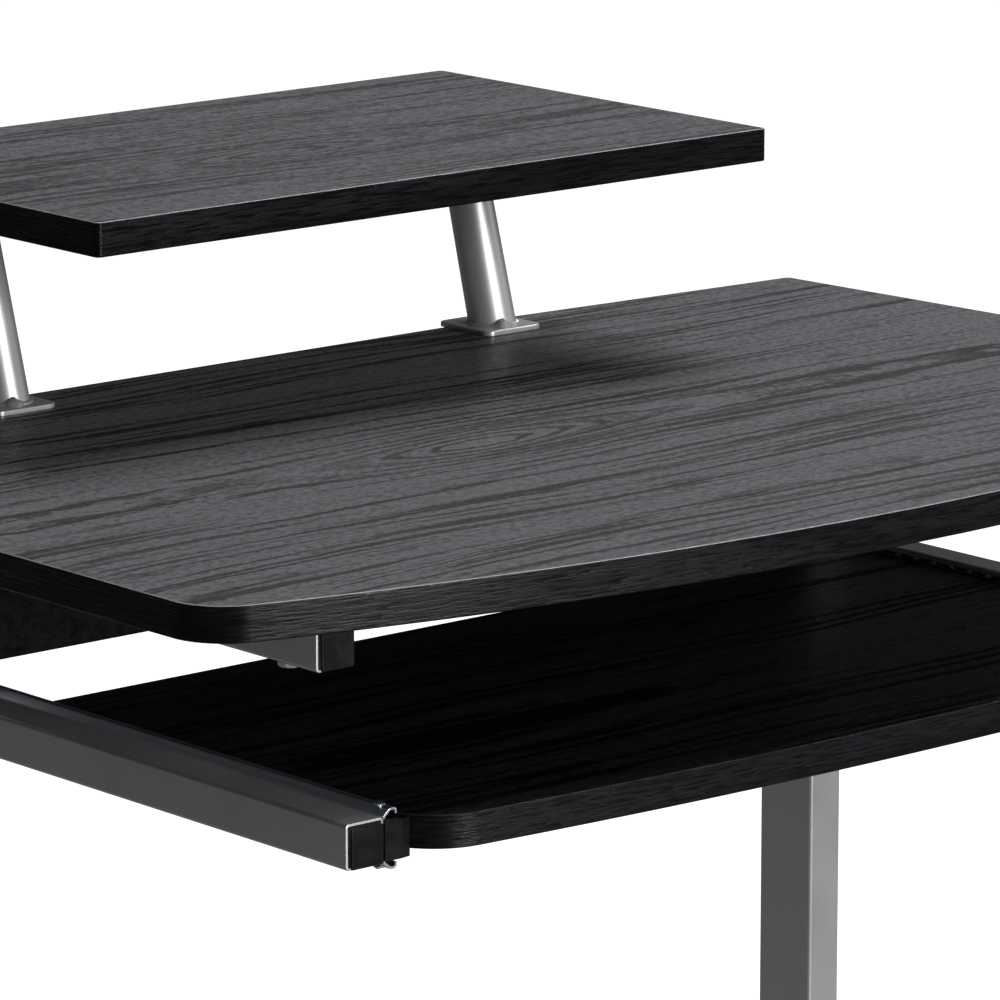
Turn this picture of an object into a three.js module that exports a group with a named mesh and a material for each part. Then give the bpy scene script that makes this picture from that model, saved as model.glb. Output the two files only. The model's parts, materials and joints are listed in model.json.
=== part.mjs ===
// Computer desk with a raised monitor shelf and a sliding keyboard tray.
// Millimetres, +Z up, the sitter's side towards -Y. The origin is on the floor, under the middle
// of the desk's outline.
import * as THREE from 'three';

// Boards
const BOARD = 17.2; // thickness of the desktop, the monitor shelf and the apron
const TRAY_BOARD = 16;
const BAND = 1; // thickness of the plastic edge band round a board
const DESK_HEIGHT = 750; // top face of the desktop
const DESK_WIDTH = 754;
const DESK_DEPTH = 486; // at the middle of the bowed front
const DESK_BOW_RADIUS = 1351;
const DESK_FRONT_CORNER = 30;
const DESK_BACK_CORNER = 4;
const DESK_TAPER = 12; // how far each back corner is drawn in, sideways and forwards
const DESK_TAPER_SIDE = 170; // where the side starts to draw in, from the back edge
const DESK_TAPER_BACK = 163; // where the back edge starts to bend, from the middle
const SHELF_WIDTH = 436;
const SHELF_X = -16.5; // middle of the shelf, from the desktop's middle
const SHELF_DEPTH = 262.5;
const SHELF_RISE = 120.3; // from the desktop's top face to the shelf's
const SHELF_OVERHANG = 93; // behind the desktop's back edge
const SHELF_CORNER = 3;
const TRAY_WIDTH = 529; // from one slide to the other
const TRAY_BACK = 181; // from the desktop's back edge to the tray's
const TRAY_FRONT = 478.5; // from the desktop's back edge to the middle of the tray's front
const TRAY_DROP = 106; // from the desktop's top face to the tray's
const TRAY_BOW_RADIUS = 2830;
const TRAY_FRONT_CORNER = 35;
const TRAY_BACK_CORNER = 2;

// Steel frame
const FRAME_X = -18; // the frame, posts and tray stand this far left of the desktop's middle
const FRAME_HALF = 285.5; // from the frame's middle to the middle of a leg
const ARM = 21.6; // square arm tube
const TUBE_WIDE = 40; // leg, foot and crossbar tube
const TUBE_NARROW = 22;
const WALL = 1.2;
const TUBE_CORNER = 1.8;
const LEG_BACK = 109.6; // from the desktop's back edge to the back face of a leg
const UPPER_ARM_BACK = 25; // from the desktop's back edge
const UPPER_ARM_FRONT = 432.5;
const LOWER_ARM_FRONT = 452.7;
const LOWER_ARM_DROP = 104.5; // from the desktop's top face to the top of the lower arm
const FOOT_LENGTH = 460;
const GLIDE_HEIGHT = 10;
const GLIDE_RADIUS = 15;
const GLIDE_INSET = 32;
const CROSSBAR_HEIGHT = 180; // middle of the crossbar
const APRON_HEIGHT = 77;
const PLUG_DEPTH = 12;
const PLUG_GAP = 0.15; // between a plastic plug and the tube round it
const PLUG_PROUD = 0.8; // how far a plug's face stands out of the tube

// Monitor shelf posts
const POST_SPACING = 323;
const POST_BACK = 17.7; // from the desktop's back edge to the foot of a post's axis
const POST_LEAN = 0.279; // backwards travel per unit of height
const POST_RADIUS = 12.7; // at the foot
const POST_TOP_RADIUS = 11.7;
const POST_WALL = 1.5;
const PLATE = 2.6;
const BASE_PLATE = [38.5, 42.5];
const BASE_PLATE_BACK = 5.5; // behind the desktop's back edge
const TOP_PLATE = [58, 56];

// Ball-bearing slides, measured inwards from the arm's inner face
const SLIDE_HEIGHT = 28.6;
const SLIDE_DEPTH = 8; // of the outer member
const SLIDE_WALL = 1.2;
const SLIDE_LIP = 3.1;
const SLIDE_LENGTH = 300;
const INNER_HEIGHT = 15.2;
const INNER_DEPTH = 6.4;
const INNER_FACE = 10; // where the inner member's web meets the tray's edge
const INNER_SETBACK = 8; // from the outer member's front end to the inner member's
const RETAINER_HEIGHT = 19.6;
const RETAINER_DEPTH = 5.6;
const RETAINER_WALL = 0.8;
const RETAINER_LENGTH = 120;
const RETAINER_OFFSET = 1.9; // from the arm's face
const RETAINER_SETBACK = 146;
const BUMPER_HEIGHT = 19.8; // plastic bumper on the inner member's front end
const BUMPER_BLOCK = [1.6, 9]; // its block, inside the outer member
const BUMPER_BLOCK_DEPTH = 7.8; // behind the outer member's front end
const BUMPER_FLANGE = [0.2, 15.2]; // its flange, in front of the outer member
const BUMPER_FLANGE_FRONT = 1.3;
const BUMPER_FLANGE_BACK = 0.3;

// Fasteners
const BOLT_RADIUS = 5.8;
const BOLT_HEAD = 4;
const SCREW_RADIUS = 4;
const SCREW_HEAD = 2.4;
const TRAY_SCREW_SETBACK = { front: 50, back: 230 }; // from the outer member's front end

const ARC_STEPS = 10;
const DESK_BOW_CHORDS = 20;
const TRAY_BOW_CHORDS = 16; // each is longer than the corner's tangent
const CORNER_STEPS = 4;

const deskBack = (DESK_DEPTH - SHELF_OVERHANG) / 2;
const deskUnderside = DESK_HEIGHT - BOARD;
const trayTop = DESK_HEIGHT - TRAY_DROP;
const shelfTop = DESK_HEIGHT + SHELF_RISE;
const upperArmBottom = deskUnderside - ARM;
const lowerArmTop = DESK_HEIGHT - LOWER_ARM_DROP;
const legBack = deskBack - LEG_BACK;
const legFront = legBack - TUBE_WIDE;
const legMiddle = (legBack + legFront) / 2;
const slideFront = deskBack - LOWER_ARM_FRONT;

const material = (color, roughness, metalness) =>
  new THREE.MeshStandardMaterial({ color, roughness, metalness });
const laminate = material(0x34343a, 0.5, 0);
const edgeBand = material(0x121214, 0.4, 0);
const silverPaint = material(0x9c9d9f, 0.35, 0.7);
const blackPlastic = material(0x161616, 0.5, 0);
const zinc = material(0xb9bcc0, 0.3, 0.9);

const desk = new THREE.Group();

function addPiece(name, geometry, look, x, y, z, parent = desk) {
  const mesh = new THREE.Mesh(geometry, look);
  mesh.name = name;
  mesh.position.set(x, y, z);
  parent.add(mesh);
}

// ---- Sections and outlines ----

function roundedRectangle(width, height, radius) {
  const x = width / 2;
  const y = height / 2;
  const shape = new THREE.Shape();
  shape.moveTo(x, -y + radius);
  shape.lineTo(x, y - radius);
  shape.absarc(x - radius, y - radius, radius, 0, Math.PI / 2);
  shape.absarc(-x + radius, y - radius, radius, Math.PI / 2, Math.PI);
  shape.absarc(-x + radius, -y + radius, radius, Math.PI, 1.5 * Math.PI);
  shape.absarc(x - radius, -y + radius, radius, 1.5 * Math.PI, 2 * Math.PI);
  return shape;
}

function tubeSection(width, height) {
  const shape = roundedRectangle(width, height, TUBE_CORNER);
  const bore = roundedRectangle(width - 2 * WALL, height - 2 * WALL, TUBE_CORNER - WALL);
  shape.holes.push(bore);
  return shape;
}

// A section from the points of its lower half and their mirror image above y = 0; it opens
// towards +x, or towards -x where side is -1
function foldedSection(lower, side) {
  const upper = lower.map(([x, y]) => [x, -y]).reverse();
  return new THREE.Shape([...lower, ...upper].map(([x, y]) => new THREE.Vector2(side * x, y)));
}

function channelSection(depth, height, wall, side) {
  const y = -height / 2;
  return foldedSection([[0, y], [depth, y], [depth, y + wall], [wall, y + wall]], side);
}

// A channel whose flanges end in lips turned towards each other
function raceSection(depth, height, wall, lip, side) {
  const y = -height / 2;
  const mouth = depth - wall;
  const lower = [[0, y], [depth, y], [depth, y + lip], [mouth, y + lip], [mouth, y + wall], [wall, y + wall]];
  return foldedSection(lower, side);
}

// Replaces each corner of a polygon by an arc; corners are [x, y, radius], counter-clockwise
function filletedOutline(corners) {
  const shape = new THREE.Shape();
  corners.forEach(([x, y, radius], i) => {
    const corner = new THREE.Vector2(x, y);
    const before = new THREE.Vector2(...corners.at(i - 1)).sub(corner).normalize();
    const after = new THREE.Vector2(...corners[(i + 1) % corners.length]).sub(corner).normalize();
    const halfAngle = Math.acos(before.dot(after)) / 2;
    const start = corner.clone().addScaledVector(before, radius / Math.tan(halfAngle));
    if (i === 0) shape.moveTo(start.x, start.y);
    else shape.lineTo(start.x, start.y);
    if (radius === 0) return;
    const centre = before.clone().add(after).setLength(radius / Math.sin(halfAngle)).add(corner);
    const first = start.clone().sub(centre).angle();
    const turn = Math.PI - 2 * halfAngle;
    shape.absarc(centre.x, centre.y, radius, first, first + turn);
  });
  return shape;
}

// Corners of a bowed front edge between x = -half and x = half, from left to right
function bowedFront(half, middle, bowRadius, cornerRadius, chords) {
  return Array.from({ length: chords + 1 }, (_, i) => {
    const x = half * (2 * i / chords - 1);
    const y = middle + bowRadius - Math.sqrt(bowRadius ** 2 - x ** 2);
    return [x, y, i === 0 || i === chords ? cornerRadius : 0];
  });
}

// The three boards' outlines, each drawn in by inset all round
function deskOutline(inset) {
  const half = DESK_WIDTH / 2 - inset;
  const back = deskBack - inset;
  const corner = DESK_BACK_CORNER - inset;
  const front = deskBack - DESK_DEPTH + inset;
  const right = [
    [half, deskBack - DESK_TAPER_SIDE, 0],
    [half - DESK_TAPER, back - DESK_TAPER, corner],
    [DESK_TAPER_BACK, back, 0],
  ];
  const left = right.map(([x, y, radius]) => [-x, y, radius]).reverse();
  const bowRadius = DESK_BOW_RADIUS - inset;
  const bow = bowedFront(half, front, bowRadius, DESK_FRONT_CORNER - inset, DESK_BOW_CHORDS);
  return filletedOutline([...bow, ...right, ...left]);
}

function trayOutline(inset) {
  const half = TRAY_WIDTH / 2 - inset;
  const back = deskBack - TRAY_BACK - inset;
  const front = deskBack - TRAY_FRONT + inset;
  const corner = TRAY_BACK_CORNER - inset;
  const bowRadius = TRAY_BOW_RADIUS - inset;
  const bow = bowedFront(half, front, bowRadius, TRAY_FRONT_CORNER - inset, TRAY_BOW_CHORDS);
  return filletedOutline([...bow, [half, back, corner], [-half, back, corner]]);
}

function shelfOutline(inset) {
  return roundedRectangle(SHELF_WIDTH - 2 * inset, SHELF_DEPTH - 2 * inset, SHELF_CORNER - inset);
}

// ---- Solids ----

function extrude(shape, depth) {
  return new THREE.ExtrudeGeometry(shape, { depth, bevelEnabled: false, curveSegments: CORNER_STEPS });
}

// Runs forwards, towards -Y, from the mesh's position; the section's y becomes Z
function extrudeForwards(shape, length) {
  return extrude(shape, length).rotateX(Math.PI / 2);
}

// The bumper's plan; y runs forwards from the outer member's front end
function bumperPlan(side) {
  const [blockNear, blockFar] = BUMPER_BLOCK;
  const [flangeNear, flangeFar] = BUMPER_FLANGE;
  const corners = [
    [blockNear, BUMPER_BLOCK_DEPTH], [blockFar, BUMPER_BLOCK_DEPTH], [blockFar, -BUMPER_FLANGE_BACK],
    [flangeFar, -BUMPER_FLANGE_BACK], [flangeFar, -BUMPER_FLANGE_FRONT],
    [flangeNear, -BUMPER_FLANGE_FRONT], [flangeNear, -BUMPER_FLANGE_BACK], [blockNear, -BUMPER_FLANGE_BACK],
  ];
  return new THREE.Shape(corners.map(([x, y]) => new THREE.Vector2(side * x, y)));
}

function upright(radius, height, sides) {
  return new THREE.CylinderGeometry(radius, radius, height, sides).rotateX(Math.PI / 2);
}

function addBoard(name, outline, x, y, top, thickness = BOARD) {
  const rim = outline(0);
  rim.holes.push(outline(BAND));
  addPiece(`${name}_board`, extrude(outline(BAND), thickness), laminate, x, y, top - thickness);
  addPiece(`${name}_edge_band`, extrude(rim, thickness), edgeBand, x, y, top - thickness);
}

// A tapering round tube that leans back, cut level at both ends
function postGeometry(height) {
  const stretch = Math.hypot(1, POST_LEAN);
  const section = new THREE.Shape();
  section.absellipse(0, 0, POST_RADIUS, POST_RADIUS * stretch, 0, 2 * Math.PI);
  const bore = new THREE.Path();
  const boreRadius = POST_RADIUS - POST_WALL;
  bore.absellipse(0, 0, boreRadius, boreRadius * stretch, 0, 2 * Math.PI);
  section.holes.push(bore);
  const geometry = new THREE.ExtrudeGeometry(section, {
    depth: height, bevelEnabled: false, curveSegments: 2 * ARC_STEPS,
  });
  const points = geometry.attributes.position;
  for (let i = 0; i < points.count; i++) {
    const z = points.getZ(i);
    const taper = 1 + (POST_TOP_RADIUS / POST_RADIUS - 1) * z / height;
    points.setXY(i, points.getX(i) * taper, points.getY(i) * taper + POST_LEAN * z);
  }
  return geometry;
}

function addPlug(name, width, height, x, outerFace, z, faces) {
  const section = roundedRectangle(
    width - 2 * (WALL + PLUG_GAP), height - 2 * (WALL + PLUG_GAP), TUBE_CORNER - WALL);
  const back = faces === 'front' ? outerFace + PLUG_DEPTH - PLUG_PROUD : outerFace + PLUG_PROUD;
  addPiece(name, extrudeForwards(section, PLUG_DEPTH), blackPlastic, x, back, z);
}

// ---- Boards ----

addBoard('desktop', deskOutline, 0, 0, DESK_HEIGHT);
addBoard('monitor_shelf', shelfOutline, SHELF_X, deskBack + SHELF_OVERHANG - SHELF_DEPTH / 2, shelfTop);
addBoard('keyboard_tray', trayOutline, FRAME_X, 0, trayTop, TRAY_BOARD);

addPiece('apron_panel', new THREE.BoxGeometry(2 * FRAME_HALF - TUBE_NARROW, BOARD, APRON_HEIGHT), laminate,
  FRAME_X, legMiddle, deskUnderside - APRON_HEIGHT / 2);

// ---- Frame ----

const crossbarLength = 2 * FRAME_HALF - TUBE_NARROW;
const crossbar = extrude(tubeSection(TUBE_NARROW, TUBE_WIDE), crossbarLength)
  .rotateX(Math.PI / 2)
  .rotateZ(Math.PI / 2);
addPiece('crossbar_tube', crossbar, silverPaint,
  FRAME_X - crossbarLength / 2, legMiddle, CROSSBAR_HEIGHT);

const footBottom = GLIDE_HEIGHT;
const footTop = footBottom + TUBE_NARROW;
const footFront = legMiddle - FOOT_LENGTH / 2 - FOOT_LENGTH / 8;
const footBack = footFront + FOOT_LENGTH;

function addSide(side, name) {
  const x = FRAME_X + side * FRAME_HALF;
  const upperZ = deskUnderside - ARM / 2;
  const lowerZ = lowerArmTop - ARM / 2;
  const footZ = (footBottom + footTop) / 2;
  const upperBack = deskBack - UPPER_ARM_BACK;
  const upperFront = deskBack - UPPER_ARM_FRONT;
  const armSection = tubeSection(ARM, ARM);

  addPiece(`leg_tube_${name}`, extrude(tubeSection(TUBE_NARROW, TUBE_WIDE), upperArmBottom - footTop),
    silverPaint, x, legMiddle, footTop);
  addPiece(`upper_arm_tube_${name}`, extrudeForwards(armSection, upperBack - upperFront),
    silverPaint, x, upperBack, upperZ);
  addPiece(`lower_arm_tube_${name}`, extrudeForwards(armSection, legFront - slideFront),
    silverPaint, x, legFront, lowerZ);
  addPiece(`foot_tube_${name}`, extrudeForwards(tubeSection(TUBE_WIDE, TUBE_NARROW), FOOT_LENGTH),
    silverPaint, x, footBack, footZ);

  addPlug(`upper_arm_cap_front_${name}`, ARM, ARM, x, upperFront, upperZ, 'front');
  addPlug(`upper_arm_cap_back_${name}`, ARM, ARM, x, upperBack, upperZ, 'back');
  addPlug(`lower_arm_cap_${name}`, ARM, ARM, x, slideFront, lowerZ, 'front');
  addPlug(`foot_cap_front_${name}`, TUBE_WIDE, TUBE_NARROW, x, footFront, footZ, 'front');
  addPlug(`foot_cap_back_${name}`, TUBE_WIDE, TUBE_NARROW, x, footBack, footZ, 'back');

  for (const [end, y] of [['front', footFront + GLIDE_INSET], ['back', footBack - GLIDE_INSET]]) {
    addPiece(`glide_${end}_${name}`, upright(GLIDE_RADIUS, GLIDE_HEIGHT, 24), blackPlastic,
      x, y, GLIDE_HEIGHT / 2);
  }
  for (const [end, y] of [['front', upperFront + 32], ['back', legFront - 30]]) {
    addPiece(`desktop_bolt_${end}_${name}`, upright(BOLT_RADIUS, BOLT_HEAD, 6), zinc,
      x, y, upperArmBottom - BOLT_HEAD / 2);
  }
  const apronBolt = new THREE.CylinderGeometry(BOLT_RADIUS, BOLT_RADIUS, BOLT_HEAD, 16)
    .rotateZ(Math.PI / 2);
  addPiece(`apron_bolt_${name}`, apronBolt, zinc,
    x + side * (TUBE_NARROW + BOLT_HEAD) / 2, legMiddle, upperArmBottom - 20);
}

// ---- Slides, screwed to the tray's side edges ----

function addSlide(side, name) {
  const inward = -side;
  const face = FRAME_X + side * (FRAME_HALF - ARM / 2);
  const z = lowerArmTop - ARM / 2;
  const at = (offset) => face + inward * offset;

  const outer = raceSection(SLIDE_DEPTH, SLIDE_HEIGHT, SLIDE_WALL, SLIDE_LIP, inward);
  addPiece(`slide_outer_${name}`, extrudeForwards(outer, SLIDE_LENGTH), zinc,
    face, slideFront + SLIDE_LENGTH, z);

  const retainer = channelSection(RETAINER_DEPTH, RETAINER_HEIGHT, RETAINER_WALL, inward);
  addPiece(`slide_ball_retainer_${name}`, extrudeForwards(retainer, RETAINER_LENGTH), zinc,
    at(RETAINER_OFFSET), slideFront + RETAINER_SETBACK + RETAINER_LENGTH, z);

  const inner = channelSection(INNER_DEPTH, INNER_HEIGHT, SLIDE_WALL, side);
  addPiece(`slide_inner_${name}`, extrudeForwards(inner, SLIDE_LENGTH - 2 * INNER_SETBACK), zinc,
    at(INNER_FACE), slideFront + SLIDE_LENGTH - INNER_SETBACK, z);

  addPiece(`slide_bumper_${name}`, extrude(bumperPlan(inward), BUMPER_HEIGHT), blackPlastic,
    face, slideFront, z - BUMPER_HEIGHT / 2);

  for (const [end, setback] of Object.entries(TRAY_SCREW_SETBACK)) {
    const screw = upright(SCREW_RADIUS, SCREW_HEAD, 16).rotateY(Math.PI / 2);
    addPiece(`tray_screw_${end}_${name}`, screw, zinc,
      at(INNER_FACE - SLIDE_WALL - SCREW_HEAD / 2), slideFront + setback, z);
  }
}

// ---- Posts under the monitor shelf ----

function addPost(side, name) {
  const x = FRAME_X + side * POST_SPACING / 2;
  const y = deskBack - POST_BACK;
  const plateTop = DESK_HEIGHT + PLATE;
  const topPlateBottom = shelfTop - BOARD - PLATE;
  const height = topPlateBottom - plateTop;
  const topY = y + POST_LEAN * height;
  addPiece(`post_${name}`, postGeometry(height), silverPaint, x, y, plateTop);
  addPiece(`post_base_plate_${name}`, new THREE.BoxGeometry(...BASE_PLATE, PLATE), silverPaint,
    x, deskBack + BASE_PLATE_BACK - BASE_PLATE[1] / 2, DESK_HEIGHT + PLATE / 2);
  addPiece(`post_top_plate_${name}`, new THREE.BoxGeometry(...TOP_PLATE, PLATE), silverPaint,
    x, topY, topPlateBottom + PLATE / 2);
  for (const [end, offset] of [['front', -1], ['back', 1]]) {
    addPiece(`shelf_screw_${end}_${name}`, upright(SCREW_RADIUS, SCREW_HEAD, 16), zinc,
      x, topY + offset * (TOP_PLATE[1] / 2 - 8), topPlateBottom - SCREW_HEAD / 2);
  }
}

for (const [side, name] of [[-1, 'left'], [1, 'right']]) {
  addSide(side, name);
  addSlide(side, name);
  addPost(side, name);
}

export default desk;
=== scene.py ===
"""A computer desk with a raised monitor shelf and a keyboard tray on slides.

Every piece takes its place from a CAD node's box and rides on that node's body. Lengths are in
millimetres until a mesh is made; materials, lights and the camera are in metres.
"""
import json
import math
import random

import bmesh
import bpy
from mathutils import Matrix, Vector

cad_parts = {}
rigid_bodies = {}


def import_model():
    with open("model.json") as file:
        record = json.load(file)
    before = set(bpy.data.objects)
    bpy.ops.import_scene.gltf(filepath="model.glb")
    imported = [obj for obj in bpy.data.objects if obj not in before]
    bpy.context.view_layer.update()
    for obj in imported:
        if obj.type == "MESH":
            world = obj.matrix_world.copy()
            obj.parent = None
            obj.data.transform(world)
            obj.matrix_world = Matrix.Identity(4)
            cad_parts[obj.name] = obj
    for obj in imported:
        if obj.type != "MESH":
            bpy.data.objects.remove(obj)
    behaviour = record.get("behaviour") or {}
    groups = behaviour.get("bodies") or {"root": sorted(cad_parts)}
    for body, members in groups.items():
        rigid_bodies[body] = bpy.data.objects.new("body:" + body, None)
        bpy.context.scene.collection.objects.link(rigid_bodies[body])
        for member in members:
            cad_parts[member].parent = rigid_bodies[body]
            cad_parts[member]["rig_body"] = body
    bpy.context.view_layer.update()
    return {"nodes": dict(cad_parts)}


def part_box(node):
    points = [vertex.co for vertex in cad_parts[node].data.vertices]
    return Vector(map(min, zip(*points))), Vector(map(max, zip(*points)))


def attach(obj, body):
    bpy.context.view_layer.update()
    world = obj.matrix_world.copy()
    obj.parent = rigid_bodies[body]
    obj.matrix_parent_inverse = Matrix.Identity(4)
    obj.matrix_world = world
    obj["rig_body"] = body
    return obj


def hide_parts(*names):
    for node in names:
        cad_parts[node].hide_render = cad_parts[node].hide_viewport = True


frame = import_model()
random.seed(7)

MM = 0.001

# The eye in the wood grain that the rings bulge round, in metres
EYE_LENGTH = 0.085
EYE_HALF_WIDTH = 0.024
OVAL_PHASE = 1000.0  # of the ovals round the eye, in radians per metre

# Studio and view, in metres and degrees
FLOOR_HALF_SIZE = 60.0
FLOOR_GREY = 0.20  # what the floor throws back on the desk
FLOOR_GLOW = 0.97  # what the camera sees of it
SKY_STRENGTH = 0.07
CAMERA_PLACE = (-2.1084, -2.4553, 1.4184)
CAMERA_TILT = 77.584
CAMERA_TURN = -40.595
CAMERA_LENS = 237.5  # in millimetres, on a sensor 36 mm wide

# Boards
BAND = 1.0  # thickness of the edge band
DESK_BOW = 1351.0  # radius of the bowed front
DESK_FRONT_CORNER = 30.0
DESK_BACK_CORNER = 4.0
DESK_TAPER = 12.0  # how far each back corner is drawn in
DESK_TAPER_SIDE = 170.0  # where the side starts to draw in, from the back edge
DESK_TAPER_BACK = 163.0  # where the back edge starts to bend, from the middle
TRAY_BOW = 2830.0  # radius of the bowed front
TRAY_FRONT_CORNER = 35.0
TRAY_BACK_CORNER = 2.0
SHELF_CORNER = 3.0
DESK_BOW_CHORDS = 20
TRAY_BOW_CHORDS = 16
ARRIS = 0.8  # radius of the band's rims

# Tubes
WALL = 1.2
TUBE_CORNER = 1.8
POST_WALL = 1.5
POST_SIDES = 64
POST_STEPS = 12
PLATE_CORNER = 5.0
GLIDE_SIDES = 96
PLUG_GAP = 0.15
PLUG_PROUD = 0.8  # thickness of the plug's face
PLUG_GROOVE = 1.3  # how far its face stays in from its left and upper sides

# Welds
BEAD_STEP = 0.9
BEAD_SIDES = 8
BEAD_RIPPLE = 0.16
BEAD_WAVE = 2.1  # in radians per millimetre
BEAD_SCATTER = 0.08
LUMP_WIDTH = 0.26  # in radians
POST_LUMP = (math.radians(-108), 3.3)  # direction and size of the lump at each post's foot

# Slides
SLIDE_WALL = 1.2
SLIDE_LIP = 3.1
CAGE_WALL = 0.8
BALL_RADIUS = 2.2
BALL_OFFSET = (2.7, 10.1)  # from the cage's web, and up or down from its middle
BALLS_IN_ROW = 9
STOP_SETBACK = 8.5  # from the slide's front end to its stops
BUMPER_BLOCK = (1.6, 9.0)  # from the arm's face
BUMPER_FLANGE = 1.0  # thickness of the flange in front of the slide
BUMPER_RIDGE = 0.64  # where across the flange its face is furthest forward
BUMPER_SLOPE = 1.7  # how far the flange's top falls away from the arm

# Axes: the first two columns hold a section's plane, and the third says which way the piece runs
UP = Matrix.Identity(3)
DOWN = Matrix(((1, 0, 0), (0, -1, 0), (0, 0, -1)))
FORWARDS = Matrix(((1, 0, 0), (0, 0, -1), (0, 1, 0)))
BACKWARDS = Matrix(((-1, 0, 0), (0, 0, 1), (0, 1, 0)))
RIGHTWARDS = Matrix(((0, 0, 1), (1, 0, 0), (0, 1, 0)))
LEFTWARDS = Matrix(((0, 0, -1), (-1, 0, 0), (0, 1, 0)))
SIDES = {"left": -1, "right": 1}


# ---- Materials ----


class Look:
    """A material whose nodes are added by short calls; keywords set the shader's own sockets."""

    def __init__(self, name, **shader):
        self.material = bpy.data.materials.new(name)
        self.material.use_nodes = True
        self.tree = self.material.node_tree
        self.shader = self.tree.nodes["Principled BSDF"]
        for socket, value in shader.items():
            self.shader.inputs[socket].default_value = value
        self.place = self.add("ShaderNodeTexCoord").outputs["Object"]

    def add(self, kind, inputs=(), **settings):
        node = self.tree.nodes.new(kind)
        for key, value in settings.items():
            setattr(node, key, value)
        for socket, value in dict(inputs).items():
            if isinstance(value, bpy.types.NodeSocket):
                self.tree.links.new(value, node.inputs[socket])
            else:
                node.inputs[socket].default_value = value
        return node

    def noise_at(self, point, detail, rough):
        inputs = {"Vector": point, "Scale": 1.0, "Detail": detail, "Roughness": rough}
        return self.add("ShaderNodeTexNoise", inputs).outputs["Fac"]

    def noise(self, scale, detail=2.0, rough=0.5, shift=(0, 0, 0)):
        """Noise from 0 to 1; scale is in features per metre along each axis."""
        spread = self.add("ShaderNodeMapping", {"Vector": self.place, "Scale": scale, "Location": shift})
        return self.noise_at(spread.outputs["Vector"], detail, rough)

    def math(self, operation, a, b=0.0, clamp=False):
        return self.add("ShaderNodeMath", {0: a, 1: b}, operation=operation, use_clamp=clamp).outputs[0]

    def remap(self, value, low, high, to_low=0.0, to_high=1.0):
        inputs = {"Value": value, "From Min": low, "From Max": high, "To Min": to_low, "To Max": to_high}
        return self.add("ShaderNodeMapRange", inputs, interpolation_type="SMOOTHSTEP").outputs["Result"]

    def ramp(self, value, *stops):
        """Colours along a value; stops are (position, colour)."""
        node = self.add("ShaderNodeValToRGB", {"Fac": value})
        elements = node.color_ramp.elements
        while len(elements) < len(stops):
            elements.new(0.5)
        for element, (position, colour) in zip(elements, stops):
            element.position = position
            element.color = (*colour, 1)
        return node.outputs["Color"]

    def use(self, colour, roughness, height, depth):
        """Links the shader; depth is the relief's, in metres."""
        bump = self.add("ShaderNodeBump", {"Height": height, "Distance": depth, "Strength": 1.0})
        sockets = {"Base Color": colour, "Roughness": roughness, "Normal": bump.outputs["Normal"]}
        for socket, value in sockets.items():
            self.tree.links.new(value, self.shader.inputs[socket])
        return self.material


def grain(look, eye, shift):
    """Flat-sawn oak along X, whose growth rings bulge round an eye at (x, y) in metres.

    Returns the ring lines, the blotches, the pores and the fine streaks, each from 0 to 1.
    """
    axes = look.add("ShaderNodeSeparateXYZ", {"Vector": look.place})
    along = look.math("SUBTRACT", axes.outputs["X"], eye[0])
    across = look.math("SUBTRACT", axes.outputs["Y"], eye[1])
    sway = look.noise((3.2, 8.0, 5.0), detail=1.5, shift=shift)
    across = look.math("ADD", across, look.math("MULTIPLY", look.math("SUBTRACT", sway, 0.5), 0.035))
    reach = look.math("DIVIDE", along, EYE_LENGTH)
    bell = look.math("EXPONENT", look.math("MULTIPLY", look.math("MULTIPLY", reach, reach), -1.0))
    opening = look.math("MULTIPLY", look.math("SUBTRACT", 1.0, bell), EYE_HALF_WIDTH ** 2)
    ring = look.math("SQRT", look.math("ADD", look.math("MULTIPLY", across, across), opening))
    tremble = look.noise((45.0, 130.0, 60.0), detail=2.0, rough=0.6, shift=shift)
    ring = look.math("ADD", ring, look.math("MULTIPLY", look.math("SUBTRACT", tremble, 0.5), 0.004))

    def rings(along_scale, ring_scale, offset, detail):
        x = look.math("MULTIPLY", axes.outputs["X"], along_scale)
        y = look.math("MULTIPLY", ring, ring_scale)
        point = look.add("ShaderNodeCombineXYZ", {"X": x, "Y": y, "Z": offset})
        return look.noise_at(point.outputs["Vector"], detail, 0.55)

    lines = look.remap(rings(4.0, 210.0, shift[0], 3.0), 0.49, 0.58)
    clusters = look.remap(rings(2.5, 34.0, shift[1], 1.0), 0.39, 0.54, 0.12, 1.0)
    rim = look.math("MULTIPLY", look.remap(ring, EYE_HALF_WIDTH * 0.15, EYE_HALF_WIDTH * 0.35),
                    look.remap(ring, EYE_HALF_WIDTH * 1.25, EYE_HALF_WIDTH * 1.9, 1.0, 0.0))
    ovals = look.remap(look.math("SINE", look.math("MULTIPLY", ring, OVAL_PHASE)), 0.0, 0.9)
    lines = look.math("MAXIMUM", look.math("MULTIPLY", lines, clusters),
                      look.math("MULTIPLY", ovals, look.math("MULTIPLY", rim, bell)))
    blotches = look.remap(look.noise((16.0, 55.0, 30.0), detail=3.0, rough=0.6, shift=shift), 0.58, 0.72)
    pores = look.remap(look.noise((160.0, 800.0, 400.0), detail=2.0, rough=0.6, shift=shift), 0.48, 0.70)
    fine = look.remap(look.noise((210.0, 340.0, 260.0), detail=3.0, rough=0.75, shift=shift), 0.30, 0.70)
    return lines, blotches, pores, fine


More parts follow.
